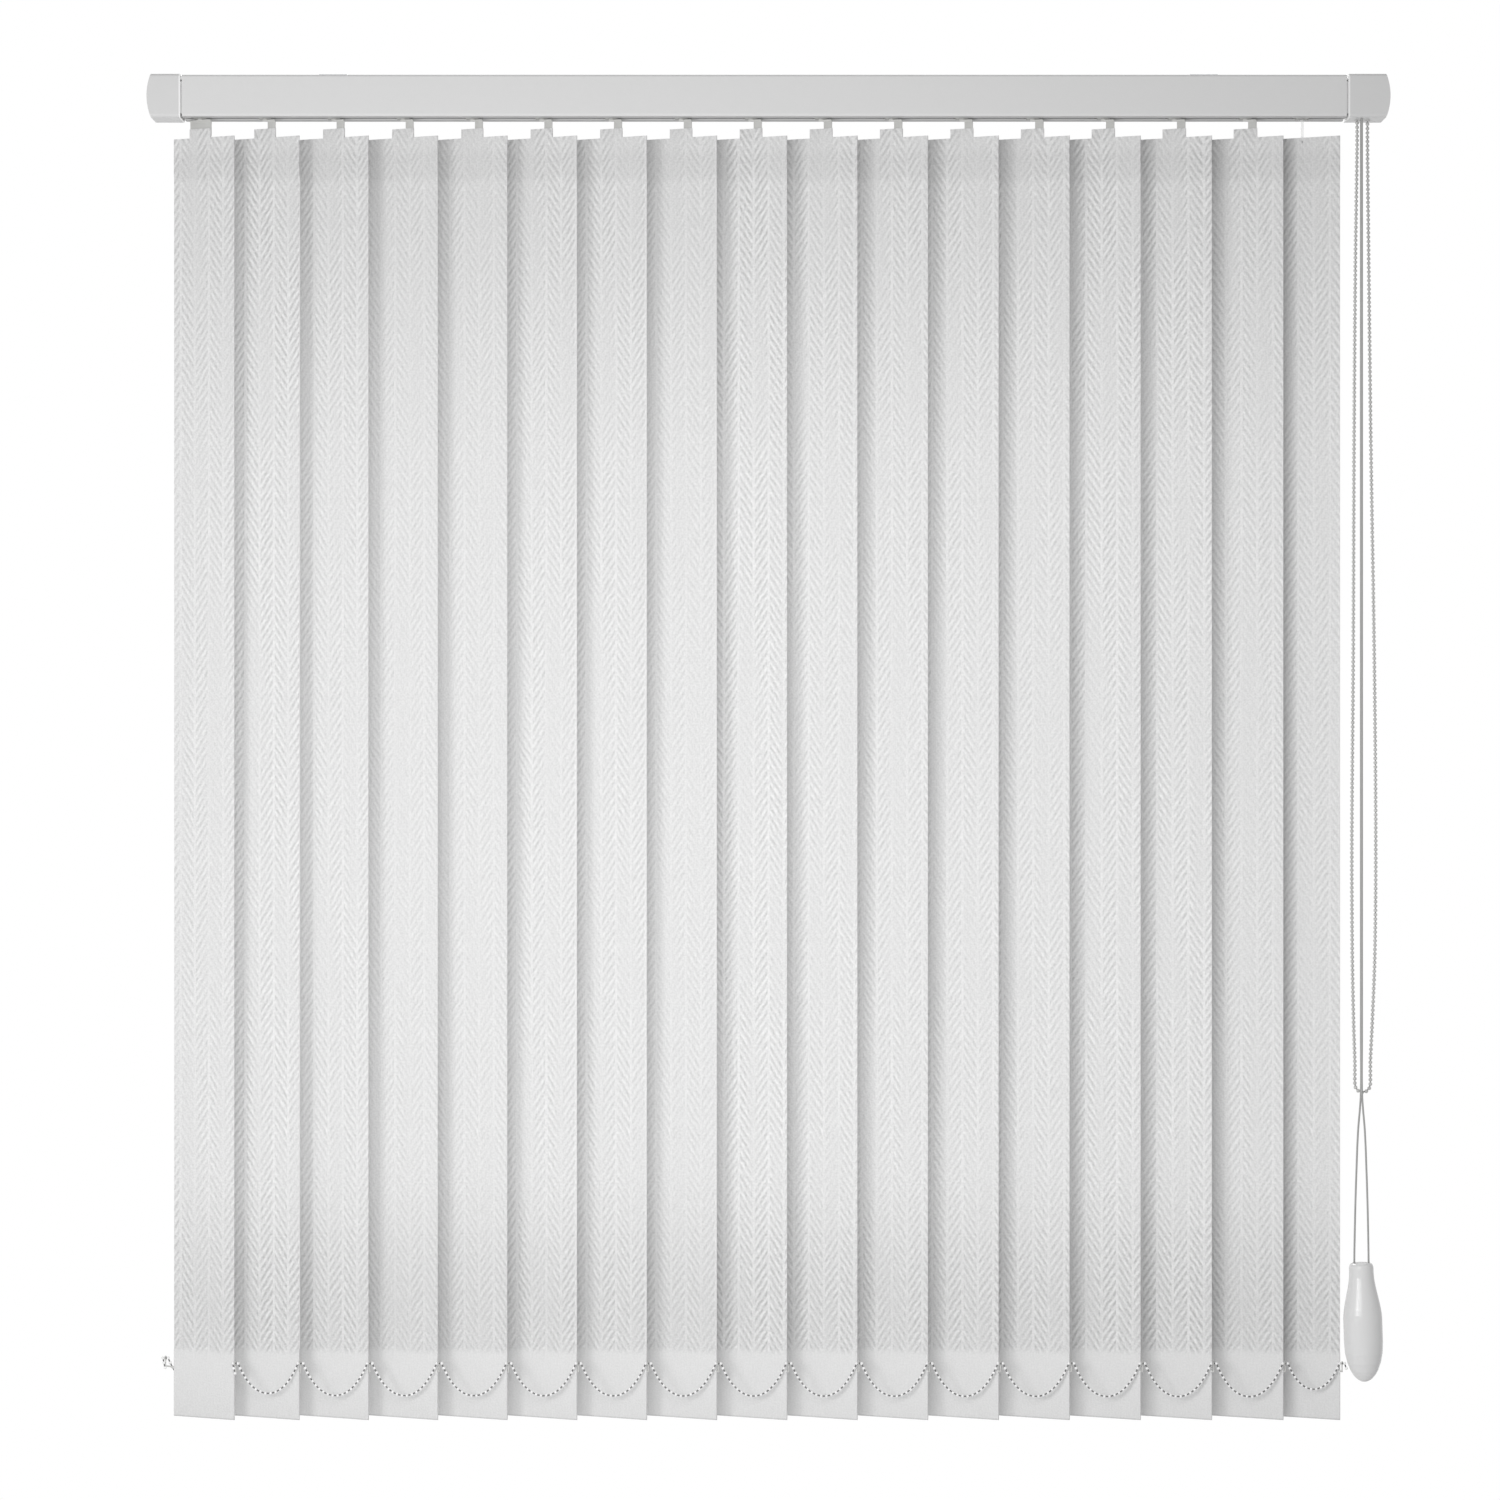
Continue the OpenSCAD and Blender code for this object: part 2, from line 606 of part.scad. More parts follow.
// A stem that hangs in the carrier, a bar under the rail, and a neck with a peg behind the vane's top
module hook(neck, peg, thick) {
    collar = boss_bot - body_gap;
    z_cyl(0, 0, head_z, head_z + head_h, head_r);
    z_cyl(0, 0, collar - 1, head_z + 0.5, stem_r);
    block([min(-stem_r, neck[0]), -1.2, collar - 2.2], [max(stem_r, neck[1]), 2, collar - 0.6]);
    block([neck[0], thick / 2 + 0.05, peg[1] - 3.2], [neck[1], 2, collar - 1.5]);
    y_cyl(peg[0], -thick / 2, thick / 2 + 0.2, peg[1], peg_r);
}
module vane(k) {
    trim = k == 1 ? first_trim : 0;
    plain = k == vane_count;
    right = tab_w / 2 - 1;
    translate([vane_x(k), 0, 0]) rotate([0, 0, -rest_tilt]) {
        color([0.95, 0.95, 0.94]) {
            fabric(trim, plain);
            chain_post(0);
            rotate([0, 0, 180]) chain_post(trim);
        }
        color([0.93, 0.93, 0.91]) {
            if (plain) hook([-1.6, 1.6], [0, vane_top - 5], top_pocket_t);
            else hook([k == 1 ? -tab_w / 2 : right - neck_w, k == 1 ? tab_w / 2 : right],
                      [tab_w / 4, tab_top - tab_h / 2], tab_t);
        }
    }
}

// Bottom chains: beads on a thread that hangs in a catenary between two posts

function sinh(x) = (exp(x) - exp(-x)) / 2;
function cosh(x) = (exp(x) + exp(-x)) / 2;
function asinh(x) = ln(x + sqrt(x * x + 1));
function droop(lo, hi, n) =
    let (m = (lo + hi) / 2)
    n == 0 ? m :
    sinh(m) / m > chain_slack ? droop(lo, m, n - 1) :
    droop(m, hi, n - 1);
droop_q = droop(0.05, 6, 40);
half_link = small_bead_pitch / 2;

function swag_beads(span) =
    let (a = (span / 2 - half_link) / droop_q, s = a * sinh(droop_q), n = round(2 * s / small_bead_pitch))
    [for (i = [0:n])
        let (t = a * asinh((-s + 2 * s * i / n) / a))
        [span / 2 + t, a * (cosh(t / a) - cosh(droop_q))]];

// A length of thread between two beads, from one bead's surface to the other's
module thread(p, q) {
    d = q - p;
    skin = bead_r + 0.04;
    from = p + skin * unit(d);
    translate([from[0], 0, from[1]]) rotate([0, 90 - atan2(d[1], d[0]), 0])
        cylinder(h = norm(d) - 2 * skin, r = thread_r, $fn = 16);
}
module bead(p) {
    translate([p[0], 0, p[1]]) sphere(r = bead_r, $fn = 16);
}
module swag(span) {
    beads = swag_beads(span);
    for (b = beads) bead(b);
    for (i = [1:len(beads) - 1]) thread(beads[i - 1], beads[i]);
    thread([-half_link, 0], [half_link, 0]);
}
module chain(s) {
    color([0.93, 0.93, 0.92]) {
        for (k = [1:vane_count - 1])
            translate([vane_x(k) + s * post_xy[0], s * post_xy[1], post_z]) swag(gap_after(k));
        translate([x_first + s * post_xy[0], s * post_xy[1], post_z]) bead([-half_link, 0]);
        translate([x_last + s * post_xy[0], s * post_xy[1], post_z]) {
            thread([-half_link, 0], [half_link, 0]);
            bead([half_link, 0]);
        }
    }
}

headrail();
end_cap_left();
end_cap_right();
top_clip(-clip_x);  // top_clip_left
top_clip(clip_x);  // top_clip_right
tilt_rod();
rod_gear();
chain_wheel();
cord_pulley(cord_y1);  // cord_pulley_rear
cord_pulley(cord_y2);  // cord_pulley_front
cord_axle();
return_pulley();
return_pin();
rail_cord();
draw_cord();
tilt_chain();
cord_weight();
weight_pulley();
weight_pin();
chain(1);  // front_chain
chain(-1);  // rear_chain
for (k = [1:vane_count]) {
    carrier(k);
    vane(k);
}
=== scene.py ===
import json
import math
import bmesh
import bpy
from mathutils import Matrix, Vector


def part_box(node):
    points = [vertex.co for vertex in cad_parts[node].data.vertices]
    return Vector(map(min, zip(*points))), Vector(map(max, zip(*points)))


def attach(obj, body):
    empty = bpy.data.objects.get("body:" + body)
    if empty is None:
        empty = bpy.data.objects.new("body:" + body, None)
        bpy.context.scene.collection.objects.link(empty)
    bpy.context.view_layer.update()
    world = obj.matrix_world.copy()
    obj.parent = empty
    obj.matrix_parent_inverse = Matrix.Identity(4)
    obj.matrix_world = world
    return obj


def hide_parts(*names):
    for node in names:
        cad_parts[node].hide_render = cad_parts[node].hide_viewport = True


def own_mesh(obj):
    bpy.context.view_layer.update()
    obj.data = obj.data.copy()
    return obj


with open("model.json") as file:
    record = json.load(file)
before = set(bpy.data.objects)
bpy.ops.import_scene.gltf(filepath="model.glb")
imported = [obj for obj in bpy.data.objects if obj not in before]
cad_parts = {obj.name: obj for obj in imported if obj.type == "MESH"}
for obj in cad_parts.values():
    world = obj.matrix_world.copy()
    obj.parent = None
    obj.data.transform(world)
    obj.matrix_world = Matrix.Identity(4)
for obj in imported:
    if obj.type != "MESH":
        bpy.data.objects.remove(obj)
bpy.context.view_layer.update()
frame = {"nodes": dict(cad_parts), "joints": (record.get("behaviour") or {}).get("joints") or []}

# The headrail is an aluminium extrusion with a baked white powder coat.
# It is cut to length, the end caps plug into both ends of it, and its underside is darkened in its colour
# as painted shade.


class Shade:
    """A node socket that varies over a surface; sums on it add Math nodes."""

    def __init__(self, tree, socket=None):
        self.tree, self.socket = tree, socket

    def node(self, kind, settings=None, sockets=None, out=0):
        made = self.tree.nodes.new(kind)
        for name, value in (settings or {}).items():
            setattr(made, name, value)
        for name, value in (sockets or {}).items():
            if isinstance(value, Shade):
                self.tree.links.new(value.socket, made.inputs[name])
            else:
                made.inputs[name].default_value = value
        return Shade(self.tree, made.outputs[out])

    def twin(self, out):
        return Shade(self.tree, self.socket.node.outputs[out])

    def noise(self, where, scale, detail=2.0):
        return self.node("ShaderNodeTexNoise", None, {"Vector": where, "Scale": scale, "Detail": detail})

    def stretched(self, where, scale):
        return self.node("ShaderNodeMapping", None, {"Vector": where, "Scale": scale})

    def dimmed(self, share):
        return self.node("ShaderNodeVectorMath", {"operation": "SCALE"}, {0: self, "Scale": share})

    def sum(self, operation, first, second=0.0, third=0.0):
        return self.node("ShaderNodeMath", {"operation": operation}, {0: first, 1: second, 2: third})

    def __add__(self, other):
        return self.sum("ADD", self, other)

    def __sub__(self, other):
        return self.sum("SUBTRACT", self, other)

    def __rsub__(self, other):
        return self.sum("SUBTRACT", other, self)

    def __mul__(self, other):
        return self.sum("MULTIPLY", self, other)

    def __truediv__(self, other):
        return self.sum("DIVIDE", self, other)

    __radd__, __rmul__ = __add__, __mul__

    def wave(self):
        return self.sum("SINE", self * (2 * math.pi)) * 0.5 + 0.5

    def between(self, low, high):
        return self.node("ShaderNodeMapRange", {"interpolation_type": "SMOOTHSTEP"},
                         {"Value": self, "From Min": low, "From Max": high})

    def tint(self, dark, light):
        return self.node("ShaderNodeMix", {"data_type": "RGBA"},
                         {"Factor": self, 6: (*dark, 1.0), 7: (*light, 1.0)}, 2)

    def feeds(self, shader, name):
        self.tree.links.new(self.socket, shader.inputs[name])


def new_finish(name, **constants):
    finish = bpy.data.materials.new(name)
    finish.use_nodes = True
    shader = finish.node_tree.nodes["Principled BSDF"]
    for socket, value in constants.items():
        shader.inputs[socket.replace("_", " ")].default_value = value
    return finish, shader, Shade(finish.node_tree)


def place_on(shade):
    return shade.node("ShaderNodeTexCoord", None, None, 3)


def relief(shade, height, shader, strength, depth):
    rough_skin = {"Height": height, "Strength": strength, "Distance": depth}
    shade.node("ShaderNodeBump", None, rough_skin).feeds(shader, "Normal")


def moulded(name, dark, light, rough, grain=900.0, **constants):
    finish, shader, s = new_finish(name, **constants)
    cloudy = s.noise(place_on(s), 9.0, 3.0)
    fine = s.noise(place_on(s), grain)
    (cloudy * 0.7 + fine * 0.3).tint(dark, light).feeds(shader, "Base Color")
    (cloudy * 0.08 + fine * 0.06 + (rough - 0.07)).feeds(shader, "Roughness")
    relief(s, fine, shader, 0.08, 0.0002)
    return finish


def dress(names, finish):
    for name in names:
        slots = frame["nodes"][name].data.materials
        slots.clear()
        slots.append(finish)


rail_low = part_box("headrail")[0][2]
rail_coat, shader, s = new_finish("rail_powder_coat", Specular_IOR_Level=0.4)
spot = place_on(s)
peel = s.noise(spot, 1400.0)
height = s.node("ShaderNodeSeparateXYZ", None, {0: spot}, 2)
# Painted shade: the rail's bottom face is darkened by 45% in its colour.
under = height.between(rail_low + 0.0005, rail_low)
coat = peel.tint((0.70, 0.70, 0.70), (0.74, 0.74, 0.74))
coat.dimmed(1.0 - under * 0.45).feeds(shader, "Base Color")
(peel * 0.1 + 0.36).feeds(shader, "Roughness")
relief(s, peel, shader, 0.08, 0.0002)
dress(["headrail"], rail_coat)

# The end caps are moulded in white plastic with a fine satin finish; a near-white band beside each seam is
# a painted highlight.
# Cheeks behind the seam plug into the rail, and the right cap holds the controls.

seam, highlight_w, highlight_fade, highlight_reach = 0.0018, 0.0012, 0.001, 0.0004
rail_left, rail_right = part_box("headrail")[0][0] - seam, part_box("headrail")[1][0] + seam
cap_plastic, shader, s = new_finish("cap_satin_plastic", Specular_IOR_Level=0.45)
spot = place_on(s)
fine = s.noise(spot, 1800.0)
side = s.node("ShaderNodeSeparateXYZ", None, {0: spot}, 0)
# Painted highlight: a near-white band on each cap's inner edge, beside the seam, mixed into the cap's
# colour.
left_highlight = side.between(rail_left - highlight_w - highlight_fade, rail_left - highlight_w)
right_highlight = side.between(rail_right + highlight_w + highlight_fade, rail_right + highlight_w)
seam_highlight = left_highlight * side.between(rail_left + highlight_reach, rail_left)
seam_highlight = seam_highlight + right_highlight * side.between(rail_right - highlight_reach, rail_right)
skin = (fine * 0.3 + 0.35).tint((0.66, 0.66, 0.66), (0.72, 0.72, 0.72))
highlight_and_skin = {"Factor": seam_highlight, 6: skin, 7: (0.93, 0.93, 0.93, 1.0)}
s.node("ShaderNodeMix", {"data_type": "RGBA"}, highlight_and_skin, 2).feeds(shader, "Base Color")
(fine * 0.1 + 0.33).feeds(shader, "Roughness")
relief(s, fine, shader, 0.08, 0.0002)
dress(["end_cap_left", "end_cap_right"], cap_plastic)

# The works inside the rail: carriers and wheels in acetal coloured dark grey as painted shade, a
# mill-finish rod, turned steel pins.
# The carriers roll on the rail's floor, and the wheels turn on the pins.

# Painted shade: the acetal is coloured dark grey so that the works inside the rail and caps read as lying
# in shade.
acetal = moulded("natural_acetal", (0.26, 0.255, 0.24), (0.32, 0.315, 0.30), 0.4, 1200.0,
                 Specular_IOR_Level=0.4)
axes = {}
for joint in frame["joints"]:
    if joint["name"].endswith("_tilt"):
        axes[joint["child"]] = joint["pos_m"][0]
vanes = sorted(axes)
dress(["carrier" + name[4:] for name in vanes], acetal)
dress(["rod_gear", "chain_wheel", "cord_pulley_rear", "cord_pulley_front"], acetal)
dress(["return_pulley", "weight_pulley"], acetal)

rod_metal, shader, s = new_finish("mill_finish_rod", Metallic=1.0)
drawn = s.noise(s.stretched(place_on(s), (3.0, 900.0, 900.0)), 1.0, 3.0)
drawn.tint((0.55, 0.56, 0.57), (0.72, 0.73, 0.74)).feeds(shader, "Base Color")
(drawn * 0.2 + 0.25).feeds(shader, "Roughness")
relief(s, drawn, shader, 0.15, 0.0001)
dress(["tilt_rod"], rod_metal)

pin_steel, shader, s = new_finish("turned_pin_steel", Metallic=1.0)
turned = s.noise(place_on(s), 1500.0)
turned.tint((0.50, 0.50, 0.51), (0.62, 0.62, 0.63)).feeds(shader, "Base Color")
(turned * 0.2 + 0.2).feeds(shader, "Roughness")
dress(["cord_axle", "return_pin", "weight_pin"], pin_steel)

# The top clips are zinc-plated spring steel, folded so that their legs snap under the rail's lips.
# One screw through each holds the blind to the ceiling.

zinc, shader, s = new_finish("zinc_plate", Metallic=1.0)
spangle = s.node("ShaderNodeTexVoronoi", None, {"Vector": place_on(s), "Scale": 160.0}, 1)
grey = s.node("ShaderNodeRGBToBW", None, {0: spangle})
grey.tint((0.56, 0.57, 0.58), (0.70, 0.71, 0.72)).feeds(shader, "Base Color")
(grey * 0.15 + 0.28).feeds(shader, "Roughness")
dress(["top_clip_left", "top_clip_right"], zinc)

# The hooks are moulded in white nylon: a stem that turns in the carrier, a bar under the rail, and a neck
# with a peg behind the vane's top. The first neck is as wide as its tab, and the last is slim and clear.

hook_nylon = moulded("hook_nylon", (0.57, 0.57, 0.555), (0.65, 0.65, 0.635), 0.4, 1500.0,
                     Specular_IOR_Level=0.4)
clear_nylon = moulded("clear_nylon", (0.80, 0.80, 0.80), (0.86, 0.86, 0.86), 0.15, 1500.0,
                      Specular_IOR_Level=0.3, Alpha=0.25)
rest_tilt = math.radians(22.0)
rest_turn = Matrix.Rotation(-rest_tilt, 4, "Z")
stem_r, head_r, peg_r = 0.003, 0.0065, 0.0014
tab_half, tab_h, tab_t, neck_w, neck_gap = 0.0138, 0.0104, 0.0016, 0.010, 0.011
tab_top = rail_low - neck_gap
vane_top = tab_top - tab_h
head_low, head_h = rail_low + 0.0189, 0.0054
collar, top_t, slim_half, neck_back = rail_low - 0.0001, 0.0018, 0.0016, 0.002


def put(bm, made, middle, turn=None):
    """Moves new vertices to their place, turned first about their own middle."""
    points = made["verts"]
    if turn:
        bmesh.ops.transform(bm, matrix=turn, verts=points)
    bmesh.ops.translate(bm, vec=middle, verts=points)
    return points


def slab(bm, low, high, soften=0.0):
    points = bmesh.ops.create_cube(bm, size=1.0)["verts"]
    bmesh.ops.scale(bm, vec=[b - a for a, b in zip(low, high)], verts=points)
    bmesh.ops.translate(bm, vec=[(a + b) / 2 for a, b in zip(low, high)], verts=points)
    if soften:
        edges = list({e for v in points for e in v.link_edges})
        bmesh.ops.bevel(bm, geom=edges, offset=soften, affect="EDGES", segments=2, profile=0.5,
                        material=-1)


def drum(bm, radius, low, high, segments=24):
    made = bmesh.ops.create_cone(bm, cap_ends=True, segments=segments, radius1=radius, radius2=radius,
                                 depth=high - low)
    put(bm, made, (0, 0, (low + high) / 2))


def piece(bm, name, finish, body, *more):
    bmesh.ops.recalc_face_normals(bm, faces=bm.faces)
    mesh = bpy.data.meshes.new(name)
    bm.to_mesh(mesh)
    bm.free()
    mesh.shade_smooth()
    mesh.set_sharp_from_angle(angle=math.radians(40))
    for skin in (finish, *more):
        mesh.materials.append(skin)
    made = bpy.data.objects.new(name, mesh)
    bpy.context.collection.objects.link(made)
    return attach(made, body)


def hang(bm, name):
    to_carrier = Matrix.Translation((axes[name], 0, 0))
    bmesh.ops.transform(bm, matrix=to_carrier @ rest_turn, verts=bm.verts)


for name in vanes:
    right = tab_half - 0.001
    neck, peg, thick = (right - neck_w, right), (tab_half / 2, tab_top - tab_h / 2), tab_t
    nylon = hook_nylon
    if name == vanes[0]:
        neck = (-tab_half, tab_half)
    if name == vanes[-1]:
        neck, peg, thick = (-slim_half, slim_half), (0.0, vane_top - 0.005), top_t
        nylon = clear_nylon
    bm = bmesh.new()
    drum(bm, head_r, head_low, head_low + head_h)
    drum(bm, stem_r, collar - 0.001, head_low + 0.0005)
    bar_left, bar_right = min(-stem_r, neck[0]), max(stem_r, neck[1])
    slab(bm, (bar_left, -0.0012, collar - 0.0022), (bar_right, neck_back, collar - 0.0006), 0.0003)
    slab(bm, (neck[0], thick / 2 + 0.00005, peg[1] - 0.0032), (neck[1], neck_back, collar - 0.0015), 0.0002)
    made = bmesh.ops.create_cone(bm, cap_ends=True, segments=16, radius1=peg_r, radius2=peg_r,
                                 depth=thick + 0.0002)
    put(bm, made, (peg[0], 0.0001, peg[1]), Matrix.Rotation(math.radians(90), 4, "X"))
    hang(bm, name)
    piece(bm, "hook" + name[4:], nylon, name)

# The vanes are strips of white herringbone cloth stiffened with resin and cut from the roll.
# The top edge is sewn over a tab plate, and the bottom edge over a smooth flat weight.

vane_w, vane_len, cut_len, first_trim = 0.089, 1.473, 1.595, 0.010
vane_low = vane_top - vane_len
cloth_t, weight_t = 0.0006, 0.0022
top_fold, weight_fold = 0.044, 0.078
column, rise, line = 0.0186, 1.5, 0.0115

cloth, shader, s = new_finish("herringbone_cloth", Specular_IOR_Level=0.2, Sheen_Weight=0.1,
                              Sheen_Roughness=0.5)
spot = s.node("ShaderNodeUVMap", {"uv_map": "cloth"})
across = s.node("ShaderNodeSeparateXYZ", None, {0: spot})
height = across.twin(1)
zigzag = s.sum("PINGPONG", across, column)
stagger = s.sum("GREATER_THAN", s.sum("MODULO", across, 2 * column), column) * 0.5
grainy = s.noise(spot, 480.0, 3.0).between(0.28, 0.72)
wander = s.noise(spot, 90.0)
broken = s.noise(spot, 170.0).between(0.36, 0.60)
threads = s.noise(s.stretched(spot, (560.0, 60.0, 1.0)), 1.0)
patchy = s.noise(s.stretched(spot, (38.0, 4.5, 1.0)), 1.0).between(0.30, 0.60)
upper = height.between(vane_len - 0.42, vane_len)
lower = height.between(0.30, 0.12)
hem = height.between(0.0022, 0.0006)
woven = height.between(weight_fold - 0.006, weight_fold + 0.004)
lines = ((height - zigzag * rise) / line + stagger + wander * 0.6).wave()
rib_in, rib_out = 0.0008, 0.0022
plain_rib = zigzag.between(rib_out, rib_in) + zigzag.between(column - rib_out, column - rib_in)
bold = s.node("ShaderNodeAttribute", {"attribute_name": "bold"}, None, 2)
clear_ends = 0.8 + upper * 0.3 + lower * 0.35
vivid = (0.25 + patchy * 0.75) * clear_ends * (0.3 + broken * 0.85) * bold
ridges = (lines * (1 - plain_rib) + plain_rib * 0.85 - 0.5) * woven * vivid
fuzz = ((threads - 0.5) * 0.34 + (grainy - 0.5) * 0.26) * (0.5 + woven * 0.5)
weave_tone = ridges * 0.58 + fuzz + 0.52
tone = weave_tone.tint((0.575, 0.575, 0.575), (0.955, 0.955, 0.955))
# Painted shade: a band over the doubled top pocket, which lets less light through, is darkened in the
# cloth's colour.
pocket_shade = height.between(vane_len - 0.055, vane_len - 0.042)
pocket_shade = pocket_shade * height.between(vane_len - 0.008, vane_len - 0.026)
# Painted shade: the cloth darkens towards the top and, less, towards the bottom, most in the woven zone
# just above the bottom pocket; a thin darker line runs along the bottom edge.
shaded = 1.0 - upper * 0.08 - pocket_shade * 0.06 - lower * (0.01 + woven * 0.10) - hem * 0.2
tone.dimmed(shaded).feeds(shader, "Base Color")
(0.83 + ridges * 0.1).feeds(shader, "Roughness")
relief(s, ridges * 0.8 + threads * 0.3 + grainy * 0.2, shader, 0.6, 0.0007)


def cut(bm, point, normal):
    whole = bm.verts[:] + bm.edges[:] + bm.faces[:]
    bmesh.ops.bisect_plane(bm, geom=whole, plane_co=point, plane_no=normal, dist=1e-6)


def cloth_strip(trim, plain, shift, boldness):
    """A flat strip with its folds and tab, and its place on the roll in the UV map."""
    bm = bmesh.new()
    bmesh.ops.create_grid(bm, x_segments=6, y_segments=1, size=0.5)
    bmesh.ops.scale(bm, vec=(vane_w - trim, vane_len, 1), verts=bm.verts)
    bmesh.ops.rotate(bm, matrix=Matrix.Rotation(math.radians(90), 3, "X"), verts=bm.verts)
    bmesh.ops.translate(bm, vec=(trim / 2, 0, (vane_top + vane_low) / 2), verts=bm.verts)
    fold_top, fold_low = vane_top - top_fold, vane_low + weight_fold
    levels = [fold_top + 0.003, fold_low - 0.003, vane_low + 0.001]
    levels += [fold_top - 0.05 * step for step in range(27)] + [fold_low]
    for level in levels:
        cut(bm, (0, 0, level), (0, 0, 1))
    for side in (-tab_half, tab_half):
        cut(bm, (side, 0, 0), (1, 0, 0))
    if not plain:
        under_tab = {v for v in bm.verts if v.co.z > vane_top - 1e-6 and abs(v.co.x) < tab_half + 1e-5}
        brow = [e for e in bm.edges if under_tab.issuperset(e.verts)]
        raised = bmesh.ops.extrude_edge_only(bm, edges=brow)["geom"]
        raised = [v for v in raised if isinstance(v, bmesh.types.BMVert)]
        bmesh.ops.translate(bm, vec=(0, 0, tab_h), verts=raised)
    weave = bm.loops.layers.uv.new("cloth")
    for face in bm.faces:
        for loop in face.loops:
            loop[weave].uv = (loop.vert.co.x + vane_w / 2 + shift, loop.vert.co.z - vane_low)
    bmesh.ops.recalc_face_normals(bm, faces=bm.faces)
    bmesh.ops.solidify(bm, geom=bm.faces[:], thickness=cloth_t)
    mid = sum(v.co.y for v in bm.verts) / len(bm.verts)
    for v in bm.verts:
        half = cloth_t / 2
        if v.co.z > fold_top + 0.002:
            half = top_t / 2
        if v.co.z > vane_top + 0.002:
            half = tab_t / 2
        if v.co.z < fold_low - 0.002:
            half = weight_t / 2
        if v.co.z < vane_low + 0.0005:
            half = weight_t / 2 - 0.0006
        v.co.y = half if v.co.y > mid else -half
    raised_weave = bm.verts.layers.float.new("bold")
    for v in bm.verts:
        v[raised_weave] = boldness
    return bm


bead_r, bead_pitch, slack, thread_r = 0.0018, 0.0059, 1.5, 0.0008
post_out, post_v, post_z = 0.003, -0.0026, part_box("front_chain")[1][2] - bead_r
post_u, post_r, post_h, arm_low = vane_w / 2 + post_out, 0.0007, 0.0084, 0.0092
bold_vanes, faint_vanes = (1, 8, 13, 14), (3, 4, 7)
for number, name in enumerate(vanes):
    trim = first_trim if number == 0 else 0.0
    boldness = 1.3 if number in bold_vanes else 0.7 if number in faint_vanes else 1.0
    bm = cloth_strip(trim, name == vanes[-1], 0.0053 * ((number * 7) % 17), boldness)
    hang(bm, name)
    made = piece(bm, "cloth" + name[4:], cloth, name)
    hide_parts(name)
    bm = bmesh.new()
    for turn, short in ((0.0, 0.0), (math.pi, trim)):
        made = bmesh.ops.create_cone(bm, cap_ends=True, segments=10, radius1=post_r, radius2=post_r,
                                     depth=post_h)
        post = put(bm, made, (post_u, post_v, post_z - 0.0058))
        reach = Vector((post_out + short, post_v, 0))
        arm = bmesh.ops.create_cube(bm, size=1.0)["verts"]
        bmesh.ops.scale(bm, vec=(reach.length + 0.001, 0.0014, 0.0016), verts=arm)
        put(bm, {"verts": arm}, Vector((vane_w / 2 - short, 0, post_z - arm_low)) + reach / 2,
            Matrix.Rotation(math.atan2(reach.y, reach.x), 4, "Z"))
        before = set(bm.verts)
        ring = bmesh.ops.create_circle(bm, segments=8, radius=0.0005)["verts"]
        bmesh.ops.rotate(bm, matrix=Matrix.Rotation(math.radians(90), 3, "X"), verts=ring)
        bmesh.ops.translate(bm, vec=(0.0022, 0, 0), verts=ring)
        bmesh.ops.spin(bm, geom=list({e for v in ring for e in v.link_edges}), cent=(0, 0, 0),
                       axis=(0, 0, 1), angle=2 * math.pi, steps=16, use_merge=True)
        loop = [v for v in bm.verts if v not in before]
        put(bm, {"verts": loop}, (post_u, post_v, post_z), Matrix.Rotation(math.radians(90), 4, "Y"))
        bmesh.ops.rotate(bm, matrix=Matrix.Rotation(turn, 3, "Z"), verts=post + arm + loop)
    hang(bm, name)
    piece(bm, "chain_posts" + name[4:], hook_nylon, name)

# The bottom chains are small white beads moulded on a thread. They hang in swags from post to post,
# along the front edges and along the rear edges, and keep the vanes in line.

chain_plastic = moulded("bead_plastic", (0.93, 0.93, 0.93), (0.97, 0.97, 0.97), 0.25, 2500.0,
                        Specular_IOR_Level=0.6)
# Painted shadow: the thread is coloured dark grey to stand in for the shadows between the beads.
chain_thread = moulded("chain_thread", (0.13, 0.13, 0.13), (0.20, 0.20, 0.20), 0.7, 2500.0)
post = rest_turn @ Vector((post_u, post_v, 0))
low, high, stacked_span = 0.05, 6.0, 0.320
for step in range(60):
    droop = (low + high) / 2
    low, high = (low, droop) if math.sinh(droop) / droop > slack else (droop, high)


def bead_string(bm, path, beads, bead_radius, thread_radius):
    """Beads at their places, with thread along the path between them."""
    for at in beads:
        bmesh.ops.create_uvsphere(bm, u_segments=8, v_segments=6, radius=bead_radius,
                                  matrix=Matrix.Translation(at))
    for a, b in zip(path, path[1:]):
        run = b - a
        turn = run.to_track_quat("Z", "Y").to_matrix().to_4x4()
        made = bmesh.ops.create_cone(bm, cap_ends=False, segments=6, radius1=thread_radius,
                                     radius2=thread_radius, depth=run.length,
                                     matrix=Matrix.Translation((a + b) / 2) @ turn)
        for face in {f for v in made["verts"] for f in v.link_faces}:
            face.material_index = 1


